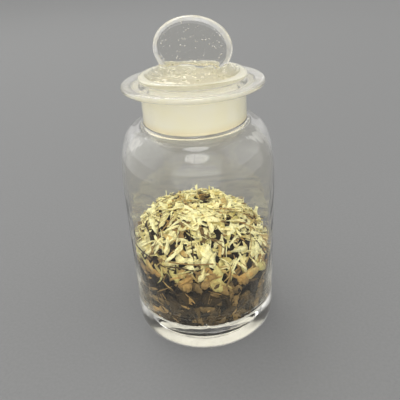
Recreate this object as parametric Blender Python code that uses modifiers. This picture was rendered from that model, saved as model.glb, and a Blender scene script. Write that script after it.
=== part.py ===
"""Wide-mouth apothecary bottle of clear glass, with a ground stopper and a heap of dried cut leaf.

Run with: blender --background --python part.py
Metres, +Z up. The origin is on the bottle's axis, at the level of the surface it stands on.
X runs along the stopper's flat grip.
"""

import math
import random

import bmesh
import bpy
import numpy as np
from mathutils import Matrix, Vector, noise

# Bottle
BODY_DIAMETER = 0.055
BODY_WALL = 0.0012
BODY_HEIGHT = 0.058  # from the table to where the shoulder starts to turn in
BASE_THICKNESS = 0.011  # where the floor runs into its rounding
FLOOR_CROWN = 0.002  # how far the floor rises to its middle
HEEL_RADIUS = 0.0043
FLOOR_RADIUS = 0.002
PUNT_DIAMETER = 0.026
PUNT_DEPTH = 0.0006
SHOULDER_HEIGHT = 0.024
SHOULDER_WALL = 0.0024
SHOULDER_POWER = 2.4  # 2 is a quarter ellipse, more is squarer
NECK_DIAMETER = 0.0354
NECK_LENGTH = 0.0143  # from the shoulder to the top of the lip
NECK_FILLET = 0.0018
LIP_DIAMETER = 0.0478
LIP_THICKNESS = 0.0019
LIP_FLARE = 0.0042
MOUTH_DIAMETER = 0.030
MOUTH_FILLET = 0.0015  # where the ground bore runs out into the shoulder
JOINT_TAPER = 0.1  # ground joint, change of diameter per length

# Stopper
PLUG_LENGTH = 0.0154
PLUG_CHAMFER = 0.0005
FLANGE_DIAMETER = 0.036
FLANGE_THICKNESS = 0.002
FLANGE_ROUNDING = 0.0009
DOME_DIAMETER = 0.033
DOME_HEIGHT = 0.0016
GRIP_WIDTH = 0.0258
GRIP_HEIGHT = 0.0198
GRIP_THICKNESS = 0.0046
GRIP_ROUNDING = 0.0019
GRIP_RISE = 0.0074  # from the top of the flange to the middle of the grip
GRIP_LEAN = math.radians(4.0)  # the grip was pressed a little out of true
FOOT_FLARE = 0.0026  # hollow-sided foot that carries the grip into the dome
FOOT_HEIGHT = 0.0045
FOOT_WAIST_SHARE = 0.9  # of the grip's thickness

# Leaf
HEAP_SIDE_HEIGHT = 0.025  # from the floor of the bottle to where the heap meets the wall
HEAP_CROWN = 0.015
HEAP_POWER = 2.8
HEAP_SLOPE = -0.09  # the heap lies lower on its +X side
HEAP_LUMP = 0.001
HEAP_LUMP_SPACING = 0.009
HEAP_HOLLOW = 0.004  # how far the side of the heap strays from the wall
HEAP_HOLLOW_SPACING = 0.008
LEAF_COUNT = 42
LEAF_LENGTH = 0.0088
LEAF_WIDTH = 0.0040
LEAF_THICKNESS = 0.00035
LEAF_CURL = 0.0005  # how far the ends of a leaf on top turn up
LEAF_FOLD = 0.0004  # how far its long edges turn up
LEAF_MARGIN = 0.0012  # kept from the wall
LEAF_BEARING = 0.0008  # how far a leaf lies over the one that carries it
LEAF_TIP_SHARE = 0.18
LEAF_SIZE_SHARES = (0.7, 1.15)
LEAF_FULLNESS = (1.6, 6.0)  # least and most: low is a pointed leaf, high is a strip cut square
LEAF_SLANT = 0.8  # greatest slant of a torn end, as a slope across the leaf
LEAF_SEED = 7

# Clearance between the glass pieces, and between the glass and what lies on it
SEAT_GAP = 0.0003

# Facets
TURNED_STEPS = 64
GRIP_SEGMENTS = 40
ARC_POINTS = 3
SHOULDER_POINTS = 7
DOME_POINTS = 5
FOOT_POINTS = 5
HEAP_STEPS = 56
HEAP_RINGS = 12
HEAP_SIDE_RINGS = 7
LEAF_SEGMENTS = 6
LEAF_DISCS = 7
LEAF_TURNS = 6
WELD = 0.00001

# Heights and radii that follow
BODY_RADIUS = BODY_DIAMETER / 2
INNER_RADIUS = BODY_RADIUS - BODY_WALL
FLOOR_CORNER = (INNER_RADIUS - FLOOR_RADIUS, BASE_THICKNESS + FLOOR_RADIUS)
NECK_RADIUS = NECK_DIAMETER / 2
MOUTH_RADIUS = MOUTH_DIAMETER / 2
SHOULDER_TOP = BODY_HEIGHT + SHOULDER_HEIGHT
LIP_TOP = SHOULDER_TOP + NECK_LENGTH
BORE_BOTTOM = SHOULDER_TOP - SHOULDER_WALL + MOUTH_FILLET
BORE_RADIUS = MOUTH_RADIUS - (LIP_TOP - BORE_BOTTOM) * JOINT_TAPER / 2
FLANGE_BOTTOM = LIP_TOP + SEAT_GAP
FLANGE_TOP = FLANGE_BOTTOM + FLANGE_THICKNESS
PLUG_BOTTOM = FLANGE_BOTTOM - PLUG_LENGTH
HEAP_BOTTOM = BASE_THICKNESS + SEAT_GAP
HEAP_RADIUS = INNER_RADIUS - SEAT_GAP
HEAP_SIDE = BASE_THICKNESS + HEAP_SIDE_HEIGHT

GOLDEN_ANGLE = math.pi * (3 - math.sqrt(5))

# Colour, roughness, metallic and transmission of each material
MATERIALS = {
    "clear_glass": ((0.93, 0.96, 0.94), 0.03, 0.0, 1.0),
    "leaf_pale": ((0.62, 0.60, 0.34), 0.8, 0.0, 0.0),
    "leaf_green": ((0.38, 0.41, 0.20), 0.8, 0.0, 0.0),
    "leaf_straw": ((0.55, 0.44, 0.22), 0.8, 0.0, 0.0),
    "leaf_brown": ((0.30, 0.17, 0.08), 0.8, 0.0, 0.0),
    "leaf_dark": ((0.13, 0.12, 0.06), 0.9, 0.0, 0.0),
}
LEAF_MATERIALS = ("leaf_pale", "leaf_green", "leaf_pale", "leaf_straw", "leaf_brown")


def clear_scene():
    for old in list(bpy.data.objects):
        bpy.data.objects.remove(old, do_unlink=True)


def new_collection(name):
    collection = bpy.data.collections.new(name)
    bpy.context.scene.collection.children.link(collection)
    return collection


def new_material(name):
    colour, roughness, metallic, transmission = MATERIALS[name]
    material = bpy.data.materials.new(name)
    material.use_nodes = True
    shader = material.node_tree.nodes["Principled BSDF"]
    shader.inputs["Base Color"].default_value = (*colour, 1.0)
    shader.inputs["Roughness"].default_value = roughness
    shader.inputs["Metallic"].default_value = metallic
    shader.inputs["Transmission Weight"].default_value = transmission
    material.diffuse_color = (*colour, 1.0)
    return material


def add_object(name, mesh, collection, material=None):
    piece = bpy.data.objects.new(name, mesh)
    if material:
        mesh.materials.append(material)
    mesh.shade_smooth()
    mesh.set_sharp_from_angle(angle=math.radians(40))
    collection.objects.link(piece)
    return piece


def arc(centre, radius, start, end, points=ARC_POINTS):
    """Points on a circle in the profile plane, from one angle in degrees to another."""
    angles = np.radians(np.linspace(start, end, points + 1))
    return [(centre[0] + radius * math.cos(a), centre[1] + radius * math.sin(a)) for a in angles]


def shoulder(outer, inner, bottom, top):
    """Squared-off quarter curve from the body's radius up to the neck's fillet."""
    power = 2 / SHOULDER_POWER
    angles = np.linspace(0, math.pi / 2, SHOULDER_POINTS + 1)
    return [
        (
            inner + (outer - inner) * max(math.cos(a), 0) ** power,
            bottom + (top - bottom) * math.sin(a) ** power,
        )
        for a in angles
    ]


def crown(radius, height, rise):
    """Shallow dome in profile, from its middle out to its edge."""
    angles = np.linspace(0, math.pi / 2, ARC_POINTS + 1)
    return [(radius * math.sin(a), height + rise * math.cos(a)) for a in angles]


def bottle_inside():
    """Profile from the middle of the floor up the inner wall to the lip."""
    under_shoulder = SHOULDER_TOP - SHOULDER_WALL
    bore_corner = (BORE_RADIUS + MOUTH_FILLET, BORE_BOTTOM)
    return [
        *crown(FLOOR_CORNER[0], BASE_THICKNESS, FLOOR_CROWN),
        *arc(FLOOR_CORNER, FLOOR_RADIUS, -90, 0)[1:],
        *shoulder(INNER_RADIUS, bore_corner[0], BODY_HEIGHT, under_shoulder),
        *arc(bore_corner, MOUTH_FILLET, -90, -180)[1:],
        (MOUTH_RADIUS, LIP_TOP),
    ]


def bottle_outside():
    """Profile from the lip down the outer wall to the middle of the punt."""
    lip_half = LIP_THICKNESS / 2
    lip_edge = (LIP_DIAMETER / 2 - lip_half, LIP_TOP - lip_half)
    flare_corner = (NECK_RADIUS + LIP_FLARE, LIP_TOP - LIP_THICKNESS - LIP_FLARE)
    neck_corner = (NECK_RADIUS + NECK_FILLET, SHOULDER_TOP + NECK_FILLET)
    heel_corner = (BODY_RADIUS - HEEL_RADIUS, HEEL_RADIUS)
    rising = shoulder(BODY_RADIUS, neck_corner[0], BODY_HEIGHT, SHOULDER_TOP)
    return [
        *arc(lip_edge, lip_half, 90, -90),
        *arc(flare_corner, LIP_FLARE, 90, 180),
        *arc(neck_corner, NECK_FILLET, 180, 270)[:-1],
        *reversed(rising),
        *arc(heel_corner, HEEL_RADIUS, 0, -90),
        *reversed(crown(PUNT_DIAMETER / 2, 0, PUNT_DEPTH)),
    ]


def stopper_profile():
    """Profile from the top of the dome down over the flange and the ground plug."""
    dome = [
        (r, FLANGE_TOP + DOME_HEIGHT * (1 - (2 * r / DOME_DIAMETER) ** 2))
        for r in np.linspace(0, DOME_DIAMETER / 2, DOME_POINTS + 1)
    ]
    edge_radius = FLANGE_DIAMETER / 2 - FLANGE_ROUNDING
    top_edge = (edge_radius, FLANGE_TOP - FLANGE_ROUNDING)
    bottom_edge = (edge_radius, FLANGE_BOTTOM + FLANGE_ROUNDING)
    plug_top = MOUTH_RADIUS - SEAT_GAP
    plug_bottom = plug_top - PLUG_LENGTH * JOINT_TAPER / 2
    return [
        *dome,
        *arc(top_edge, FLANGE_ROUNDING, 90, 0),
        *arc(bottom_edge, FLANGE_ROUNDING, 0, -90),
        (plug_top, FLANGE_BOTTOM),
        (plug_bottom, PLUG_BOTTOM + PLUG_CHAMFER),
        (plug_bottom - PLUG_CHAMFER, PLUG_BOTTOM),
        (0, PLUG_BOTTOM),
    ]


def turned(name, profile, collection, material):
    """Solid of revolution about Z, from a profile that ends on the axis at both ends."""
    outline = bmesh.new()
    points = [outline.verts.new((r, 0, z)) for r, z in profile]
    for a, b in zip(points, points[1:]):
        outline.edges.new((a, b))
    bmesh.ops.remove_doubles(outline, verts=outline.verts, dist=WELD)
    mesh = bpy.data.meshes.new(name)
    outline.to_mesh(mesh)
    outline.free()
    piece = add_object(name, mesh, collection, material)
    screw = piece.modifiers.new("Turn", "SCREW")
    screw.axis = "Z"
    screw.steps = screw.render_steps = TURNED_STEPS
    screw.use_merge_vertices = True
    screw.merge_threshold = WELD
    return piece


def add_bottle(collection, material):
    return turned("bottle", bottle_inside() + bottle_outside(), collection, material)


def add_solid(name, solid, collection, material=None):
    """Object made from a bmesh, which is freed."""
    mesh = bpy.data.meshes.new(name)
    solid.to_mesh(mesh)
    solid.free()
    return add_object(name, mesh, collection, material)


def grip_disc(collection):
    """Oval disc that stands on edge along X, with its rim rounded on both faces."""
    disc = bmesh.new()
    bmesh.ops.create_cone(
        disc,
        cap_ends=True,
        segments=GRIP_SEGMENTS,
        radius1=GRIP_WIDTH / 2,
        radius2=GRIP_WIDTH / 2,
        depth=GRIP_THICKNESS,
        matrix=Matrix.Rotation(math.pi / 2, 4, "X"),
    )
    bmesh.ops.scale(disc, vec=(1, 1, GRIP_HEIGHT / GRIP_WIDTH), verts=disc.verts)
    caps = [face for face in disc.faces if len(face.verts) == GRIP_SEGMENTS]
    rims = [edge for cap in caps for edge in cap.edges]
    bmesh.ops.bevel(
        disc, geom=rims, offset=GRIP_ROUNDING, segments=ARC_POINTS, profile=0.5, affect="EDGES"
    )
    bmesh.ops.translate(disc, vec=(0, 0, GRIP_RISE), verts=disc.verts)
    return add_solid("grip_disc", disc, collection)


def grip_half_width(height):
    """Half the grip's width at a height above the top of the flange."""
    share = (height - GRIP_RISE) / (GRIP_HEIGHT / 2)
    return GRIP_WIDTH / 2 * math.sqrt(max(1 - share**2, 0))


def grip_foot(collection):
    """Oval foot under the grip, drawn in from the dome to the grip's own width by a hollow curve."""
    half_depth = GRIP_THICKNESS / 2 * FOOT_WAIST_SHARE
    sections = []
    for rise in np.linspace(0, 1, FOOT_POINTS):
        flare = FOOT_FLARE * (1 - rise) ** 2
        height = FOOT_HEIGHT * rise
        sections.append((grip_half_width(height) + flare, half_depth + flare, height))
    foot = bmesh.new()
    bmesh.ops.create_circle(foot, cap_ends=True, segments=GRIP_SEGMENTS, radius=1)
    bmesh.ops.scale(foot, vec=(sections[0][0], sections[0][1], 1), verts=foot.verts)
    cap = foot.faces[:]
    for step, (last, section) in enumerate(zip(sections, sections[1:])):
        raised = bmesh.ops.extrude_face_region(foot, geom=cap)["geom"]
        if step:
            bmesh.ops.delete(foot, geom=cap, context="FACES_ONLY")
        ring = [item for item in raised if isinstance(item, bmesh.types.BMVert)]
        cap = [item for item in raised if isinstance(item, bmesh.types.BMFace)]
        bmesh.ops.scale(foot, vec=(section[0] / last[0], section[1] / last[1], 1), verts=ring)
        bmesh.ops.translate(foot, vec=(0, 0, section[2] - last[2]), verts=ring)
    bmesh.ops.recalc_face_normals(foot, faces=foot.faces)
    return add_solid("grip_foot", foot, collection)


def add_stopper(collection, shapes, material):
    """Turned plug, flange and dome, with the oval grip and its foot joined on."""
    stopper = turned("stopper", stopper_profile(), collection, material)
    lean = bpy.data.objects.new("grip_lean", None)
    lean.location = (0, 0, FLANGE_TOP)
    lean.rotation_euler = (0, GRIP_LEAN, 0)
    collection.objects.link(lean)
    for shape in (grip_foot(shapes), grip_disc(shapes)):
        shape.parent = lean
        shape.hide_render = True
        shape.display_type = "WIRE"
        join = stopper.modifiers.new(f"Join {shape.name}", "BOOLEAN")
        join.operation = "UNION"
        join.object = shape
    return stopper


def heap_height(x, y):
    """Height of the heap's surface: a crown, lower on one side, with soft lumps."""
    share = min(math.hypot(x, y) / HEAP_RADIUS, 1)
    lump = HEAP_LUMP * noise.noise(Vector((x, y, 0)) / HEAP_LUMP_SPACING)
    return HEAP_SIDE + HEAP_CROWN * (1 - share**HEAP_POWER) + HEAP_SLOPE * x + lump


def heap_steepness(x, y):
    """Length of the heap's normal for each unit of its height."""
    step = HEAP_RADIUS / HEAP_RINGS / 2
    along = (heap_height(x + step, y) - heap_height(x - step, y)) / (2 * step)
    across = (heap_height(x, y + step) - heap_height(x, y - step)) / (2 * step)
    return math.sqrt(1 + along**2 + across**2)


def heap_profile():
    """Profile from the middle of the bottle's floor up the wall and in over the heap to its middle."""
    heights = np.linspace(FLOOR_CORNER[1], HEAP_SIDE, HEAP_SIDE_RINGS + 1)
    return [
        *crown(FLOOR_CORNER[0], HEAP_BOTTOM, FLOOR_CROWN),
        *arc(FLOOR_CORNER, FLOOR_RADIUS - SEAT_GAP, -90, 0)[1:],
        *((HEAP_RADIUS, height) for height in heights[1:-1]),
        *((radius, HEAP_SIDE) for radius in np.linspace(HEAP_RADIUS, 0, HEAP_RINGS + 1)),
    ]


def add_heap(collection, material):
    """Loose leaf as one solid: it follows the floor, leaves hollows at the wall, and has a lumpy crown."""
    heap = bmesh.new()
    points = [heap.verts.new((r, 0, z)) for r, z in heap_profile()]
    for a, b in zip(points, points[1:]):
        heap.edges.new((a, b))
    bmesh.ops.spin(
        heap,
        geom=heap.verts[:] + heap.edges[:],
        axis=(0, 0, 1),
        angle=2 * math.pi,
        steps=HEAP_STEPS,
        use_merge=True,
    )
    bmesh.ops.remove_doubles(heap, verts=heap.verts, dist=WELD)
    for vert in heap.verts:
        if vert.co.z > HEAP_SIDE - WELD:
            vert.co.z = heap_height(vert.co.x, vert.co.y)
        elif vert.co.z > FLOOR_CORNER[1] + WELD and vert.co.xy.length > FLOOR_CORNER[0]:
            hollow = HEAP_HOLLOW * max(noise.noise(vert.co / HEAP_HOLLOW_SPACING), 0)
            vert.co.xy *= 1 - hollow / HEAP_RADIUS
    bmesh.ops.recalc_face_normals(heap, faces=heap.faces)
    return add_solid("leaf_heap", heap, collection, material)


class Leaf:
    """A cut flake of leaf: two long edges, two slanting torn ends, and a shallow fold along the midrib."""

    def __init__(self, place, turn):
        dice = random.Random(LEAF_SEED * LEAF_COUNT + place)
        low, high = LEAF_SIZE_SHARES
        self.place = place
        self.length = LEAF_LENGTH * dice.uniform(low, high)
        self.width = LEAF_WIDTH * dice.uniform(low, high)
        self.fullness = dice.uniform(*LEAF_FULLNESS)
        self.slant = dice.uniform(-LEAF_SLANT, LEAF_SLANT)
        self.turn = dice.uniform(0, math.pi) + turn
        self.curl = LEAF_CURL * dice.uniform(low, high)
        self.fold = LEAF_FOLD * dice.uniform(low, high)
        self.layer = 0
        self.on_top = False
        around = place * GOLDEN_ANGLE
        room = HEAP_RADIUS - LEAF_MARGIN
        reach = math.sqrt(room**2 - (LEAF_LENGTH * high / 2) ** 2) - LEAF_WIDTH * high / 2
        outward = Vector((math.cos(around), math.sin(around)))
        self.centre = outward * reach * math.sqrt((place + 0.5) / LEAF_COUNT)
        if any(self.point(along, across).length > room for along in (-1, 1) for across in (-1, 1)):
            self.turn = around + math.pi / 2
            self.slant = 0

    def half_width(self, along):
        """Half width at a share of the half length, from -1 to 1."""
        swell = 1 - min(abs(along), 1) ** self.fullness
        return self.width / 2 * (LEAF_TIP_SHARE + (1 - LEAF_TIP_SHARE) * swell)

    def point(self, along, across):
        """Plan position of a point given in shares of the half length and half width."""
        forward = Vector((math.cos(self.turn), math.sin(self.turn)))
        sideways = Vector((-forward.y, forward.x))
        over = across * self.half_width(along)
        return self.centre + forward * (along * self.length / 2 + over * self.slant) + sideways * over

    def gap(self, other):
        """Least gap in plan to another leaf, each taken as a row of discs; below 0 they overlap."""
        steps = np.linspace(-1, 1, LEAF_DISCS)
        return min(
            (self.point(a, 0) - other.point(b, 0)).length - self.half_width(a) - other.half_width(b)
            for a in steps
            for b in steps
        )

    def height(self, along, across):
        """Height of the underside, clear of the heap or of the leaves below."""
        x, y = self.point(along, across)
        lift = SEAT_GAP + self.layer * (LEAF_THICKNESS + SEAT_GAP)
        bend = self.curl * along**2 + self.fold * abs(across) if self.on_top else 0
        return heap_height(x, y) + lift * heap_steepness(x, y) + bend


def seat(leaf, leaves):
    """Lays a leaf on top of those in its place, and says whether one of them, or the heap, carries it."""
    gaps = [(leaf.gap(other), other.layer) for other in leaves]
    leaf.layer = max((layer for gap, layer in gaps if gap < SEAT_GAP), default=-1) + 1
    return leaf.layer == 0 or any(
        gap < -LEAF_BEARING for gap, layer in gaps if layer == leaf.layer - 1
    )


def fallen_leaves():
    """Leaves dropped one by one on the heap, each turned to where it lies lowest and is carried."""
    leaves = []
    for place in random.Random(LEAF_SEED).sample(range(LEAF_COUNT), LEAF_COUNT):
        tries = [Leaf(place, turn * GOLDEN_ANGLE) for turn in range(LEAF_TURNS)]
        leaves.append(min(tries, key=lambda leaf: (not seat(leaf, leaves), leaf.layer)))
    for leaf in leaves:
        higher = [other for other in leaves if other.layer > leaf.layer]
        leaf.on_top = all(leaf.gap(other) > SEAT_GAP for other in higher)
    return leaves


def add_leaf(leaf, collection, material):
    blade = bmesh.new()
    bmesh.ops.create_grid(blade, x_segments=LEAF_SEGMENTS, y_segments=2, size=1)
    for vert in blade.verts:
        along, across = vert.co.x, vert.co.y
        vert.co = (*leaf.point(along, across), leaf.height(along, across))
    piece = add_solid(f"leaf_{leaf.place + 1:02d}", blade, collection, material)
    thicken = piece.modifiers.new("Thickness", "SOLIDIFY")
    thicken.thickness = LEAF_THICKNESS
    thicken.offset = 1
    return piece


def add_leaves(collection, materials):
    for leaf in fallen_leaves():
        colour = LEAF_MATERIALS[leaf.place % len(LEAF_MATERIALS)]
        add_leaf(leaf, collection, materials[colour])


def main():
    clear_scene()
    parts = new_collection("apothecary_bottle")
    shapes = new_collection("stopper_shapes")
    materials = {name: new_material(name) for name in MATERIALS}
    add_bottle(parts, materials["clear_glass"])
    add_stopper(parts, shapes, materials["clear_glass"])
    add_heap(parts, materials["leaf_dark"])
    add_leaves(parts, materials)


main()
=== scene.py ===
"""Glass bottle with a ground stopper and dried cut leaf in it, dressed around its packed model.

Metres, +Z up, origin on the bottle's axis where it stands. X runs along the stopper's flat grip.
"""

import math
import random

import bmesh
import bpy
import numpy as np
from bpy.props import FloatProperty, FloatVectorProperty, IntProperty, PointerProperty
from bpy.types import Operator, Panel, PropertyGroup
from mathutils import Matrix, Vector, noise
from mathutils.bvhtree import BVHTree


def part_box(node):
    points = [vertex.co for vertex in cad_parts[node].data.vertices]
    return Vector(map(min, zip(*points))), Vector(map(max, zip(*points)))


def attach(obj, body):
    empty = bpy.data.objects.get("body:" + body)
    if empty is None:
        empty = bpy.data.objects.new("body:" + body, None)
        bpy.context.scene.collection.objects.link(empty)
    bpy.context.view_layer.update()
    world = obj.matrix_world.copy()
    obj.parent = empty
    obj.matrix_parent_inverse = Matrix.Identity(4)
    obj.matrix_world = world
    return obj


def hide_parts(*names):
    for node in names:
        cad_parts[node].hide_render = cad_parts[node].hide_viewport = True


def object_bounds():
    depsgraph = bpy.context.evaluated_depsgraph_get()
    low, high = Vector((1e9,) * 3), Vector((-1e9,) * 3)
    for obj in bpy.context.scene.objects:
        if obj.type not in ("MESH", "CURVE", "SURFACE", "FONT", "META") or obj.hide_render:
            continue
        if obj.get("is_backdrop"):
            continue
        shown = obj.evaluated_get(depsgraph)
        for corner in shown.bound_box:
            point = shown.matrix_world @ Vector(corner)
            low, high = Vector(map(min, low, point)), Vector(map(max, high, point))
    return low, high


bl_info = {
    "name": "Ground Stopper Bottle",
    "version": (1, 0, 0),
    "blender": (4, 5, 0),
    "location": "3D View > Sidebar > Bottle",
    "description": "Glass, ground joint and leaf of a small stoppered bottle",
    "category": "Add Mesh",
}

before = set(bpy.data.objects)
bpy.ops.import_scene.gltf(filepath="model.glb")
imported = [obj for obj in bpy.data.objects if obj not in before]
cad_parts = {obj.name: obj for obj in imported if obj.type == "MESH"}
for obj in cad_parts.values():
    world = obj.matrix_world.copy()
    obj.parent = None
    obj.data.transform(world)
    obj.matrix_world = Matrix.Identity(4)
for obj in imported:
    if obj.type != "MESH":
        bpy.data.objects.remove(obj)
CAD_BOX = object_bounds()
BOTTLE_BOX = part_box("bottle")
STOPPER_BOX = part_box("stopper")

MM = 0.001
WELD = 0.00001
NODE_STEP = 220
GLASS_IOR = 1.5
FULL_TURN = 2 * math.pi


# Settings

def length(name, description, default):
    return FloatProperty(
        name=name, description=description, default=default, unit="LENGTH", precision=5
    )


def factor(name, description, default):
    return FloatProperty(name=name, description=description, default=default, subtype="FACTOR")


def angle(name, description, degrees):
    return FloatProperty(
        name=name, description=description, default=math.radians(degrees), subtype="ANGLE"
    )


def colour(name, description, default):
    return FloatVectorProperty(
        name=name, description=description, default=default, subtype="COLOR", size=3, min=0, max=1
    )


def power(name, description, default):
    return FloatProperty(name=name, description=description, default=default, unit="POWER")


def number(name, description, default):
    return FloatProperty(name=name, description=description, default=default)


def count(name, description, default):
    return IntProperty(name=name, description=description, default=default, min=1)


class BottleSizes(PropertyGroup):
    """Sizes of the bottle's glass."""

    body_diameter: length("Body diameter", "Across the straight body", BOTTLE_BOX[1].x - BOTTLE_BOX[0].x)
    body_wall: length("Body wall", "Thickness of the straight wall", 1.2 * MM)
    body_height: length("Body height", "From the table to where the shoulder turns in", 58 * MM)
    base_thickness: length("Base thickness", "From the table to the edge of the floor inside", 11 * MM)
    floor_crown: length("Floor crown", "How far the floor rises to its middle", 2 * MM)
    ring_depth: length("Ring depth", "Depth of the mould's rings inside the foot of the wall", 0.1 * MM)
    ring_spacing: length("Ring spacing", "From one of those rings to the next", 1.4 * MM)
    ring_reach: length("Ring reach", "How far up the wall they reach", 5.6 * MM)
    heel_radius: length("Heel radius", "Rounding under the outer wall", 4.3 * MM)
    floor_radius: length("Floor radius", "Rounding between the wall and the floor inside", 2 * MM)
    punt_diameter: length("Punt diameter", "Across the hollow under the base", 26 * MM)
    punt_depth: length("Punt depth", "Height of the hollow under the base", 1.6 * MM)
    shoulder_height: length("Shoulder height", "From the straight body to the neck", 24 * MM)
    shoulder_wall: length("Shoulder wall", "Thickness under the neck", 2.4 * MM)
    shoulder_power: number("Shoulder power", "2 is a quarter ellipse, more is squarer", 2.4)
    neck_diameter: length("Neck diameter", "Across the outside of the neck", 35.4 * MM)
    neck_fillet: length("Neck fillet", "Rounding between the neck and the shoulder", 1.8 * MM)
    lip_diameter: length("Lip diameter", "Across the flat lip", 47.8 * MM)
    lip_thickness: length("Lip thickness", "Thickness of the lip's edge", 1.9 * MM)
    lip_flare: length("Lip flare", "Rounding under the lip", 4.2 * MM)
    base_dulled: length("Base dulled", "How far up the underside of the base is rubbed", 0.05 * MM)
    lip_dulled: length("Lip dulled", "How far down the lip is dulled", 2.4 * MM)
    mouth_diameter: length("Mouth diameter", "Across the top of the ground bore", 30 * MM)
    mouth_fillet: length("Mouth fillet", "Where the bore runs out into the shoulder", 1.5 * MM)
    wave: length("Wave", "How far the blown glass strays from true", 0.11 * MM)
    wave_spacing: length("Wave spacing", "Size of the waves in the glass", 9 * MM)
    steps: count("Steps", "Facets around the glass", 144)
    arc_points: count("Arc points", "Facets in each rounding", 8)
    shoulder_points: count("Shoulder points", "Facets up the shoulder", 22)


class StopperSizes(PropertyGroup):
    """Sizes of the stopper's glass."""

    joint_gap: length("Joint gap", "Between the plug and the bore", 0.3 * MM)
    joint_taper: factor("Joint taper", "Change of diameter for each length", 0.1)
    plug_length: length("Plug length", "From the flange to the end", 15.4 * MM)
    plug_chamfer: length("Plug chamfer", "At the end of the plug", 0.5 * MM)
    flange_diameter: length("Flange diameter", "Across the flange", 36 * MM)
    flange_thickness: length("Flange thickness", "Thickness of the flange", 2 * MM)
    flange_rounding: length("Flange rounding", "Rounding of its edge", 0.9 * MM)
    dome_diameter: length("Dome diameter", "Across the low dome", 33 * MM)
    dome_height: length("Dome height", "Height of the low dome", 1.6 * MM)
    ring_height: length("Ring height", "Height of the mould's rings round the dome", 0.13 * MM)
    ring_spacing: length("Ring spacing", "From one of those rings to the next", 1.5 * MM)
    swirl: length("Swirl", "Height of the swirls pressed into the dome", 0.7 * MM)
    swirl_spacing: length("Swirl spacing", "From one swirl to the next", 2.2 * MM)
    grip_width: length("Grip width", "Across the oval grip", 25.8 * MM)
    grip_height: length("Grip height", "Height of the whole oval", 19.8 * MM)
    grip_thickness: length("Grip thickness", "Thickness of the grip", 4.6 * MM)
    grip_rounding: length("Grip rounding", "How far in the rim's rounding reaches", 2.1 * MM)
    rim_width: length("Rim width", "How far in the grip's moulded rim is dulled", 1.3 * MM)
    grip_rise: length("Grip rise", "From the flange to the oval's middle", 7.4 * MM)
    grip_lean: angle("Grip lean", "How far the grip leans along X", 4)
    foot_flare: length("Foot flare", "How far the foot spreads on the dome", 1.4 * MM)
    foot_height: length("Foot height", "Height of the hollow-sided foot", 2.5 * MM)
    foot_stray: length("Foot stray", "How far the top of the foot wanders", 2.2 * MM)
    bubble_count: count("Bubbles", "Seed bubbles in the grip", 130)
    bubble_least: length("Least bubble", "Radius of the smallest bubble", 0.07 * MM)
    bubble_most: length("Largest bubble", "Radius of the largest bubble", 0.26 * MM)
    steps: count("Steps", "Facets around the stopper", 192)


class LeafSizes(PropertyGroup):
    """Sizes, numbers and colours of the flakes of leaf."""

    top_count: count("Top flakes", "Flakes on the crown of the heap", 1450)
    side_count: count("Side flakes", "Flakes against the wall", 1150)
    floor_count: count("Floor flakes", "Flakes on the bottle's floor", 240)
    rib_count: count("Ribs", "Thin dry ribs on the crown", 34)
    flake_length: length("Flake length", "Mean length of a flake", 6.2 * MM)
    flake_width: length("Flake width", "Mean width of a flake on the crown", 1.75 * MM)
    side_breadth: number("Side breadth", "Width of the side's flakes over that of the crown's", 1.9)
    flake_thickness: length("Flake thickness", "Thickness of a dried flake", 0.16 * MM)
    strip_share: factor("Strips", "Share of the flakes that are narrow strips", 0.4)
    pointed_share: factor("Pointed", "Share of the flakes that are torn to a point", 0.5)
    curled_share: factor("Curled", "Share of the flakes that are curled", 0.06)
    top_depth: length("Top depth", "Depth of the flakes on the crown", 2.2 * MM)
    pressed_share: factor("Pressed", "Share of the side's flakes that lie on the glass", 0.55)
    side_depth: length("Side depth", "Depth of the flakes at the side", 1.6 * MM)
    core_depth: length("Core depth", "How far the dark inside lies under the surface", 1.2 * MM)
    # Painted shade: side flakes are darkened within this height over the floor
    floor_shade_height: length("Black edge", "Height over the floor in which the leaf is dark", 2.5 * MM)
    hole_spacing: length("Hole spacing", "From one dark hole in the crown to the next", 4.5 * MM)
    wall_clearance: length("Wall clearance", "Between the flakes and the glass", 0.15 * MM)
    seed: count("Seed", "Changes how the flakes fell", 11)
    cream: colour("Cream", "Palest flakes", (1.0, 0.95, 0.53))
    pale: colour("Pale", "Pale yellow flakes", (1.0, 0.88, 0.42))
    olive: colour("Olive", "Greener flakes", (0.66, 0.59, 0.21))
    straw: colour("Straw", "Straw-coloured flakes", (0.62, 0.46, 0.17))
    amber: colour("Amber", "Orange-brown flakes", (0.52, 0.32, 0.10))
    tan: colour("Tan", "Light brown flakes", (0.26, 0.175, 0.07))
    brown: colour("Brown", "Brown flakes", (0.065, 0.041, 0.014))
    dark: colour("Dark", "Darkest flakes", (0.012, 0.007, 0.002))
    # Painted shade: colour of the heap's inside, seen between the flakes
    core: colour("Core", "Dark of the heap between the flakes", (0.008, 0.006, 0.003))


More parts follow.
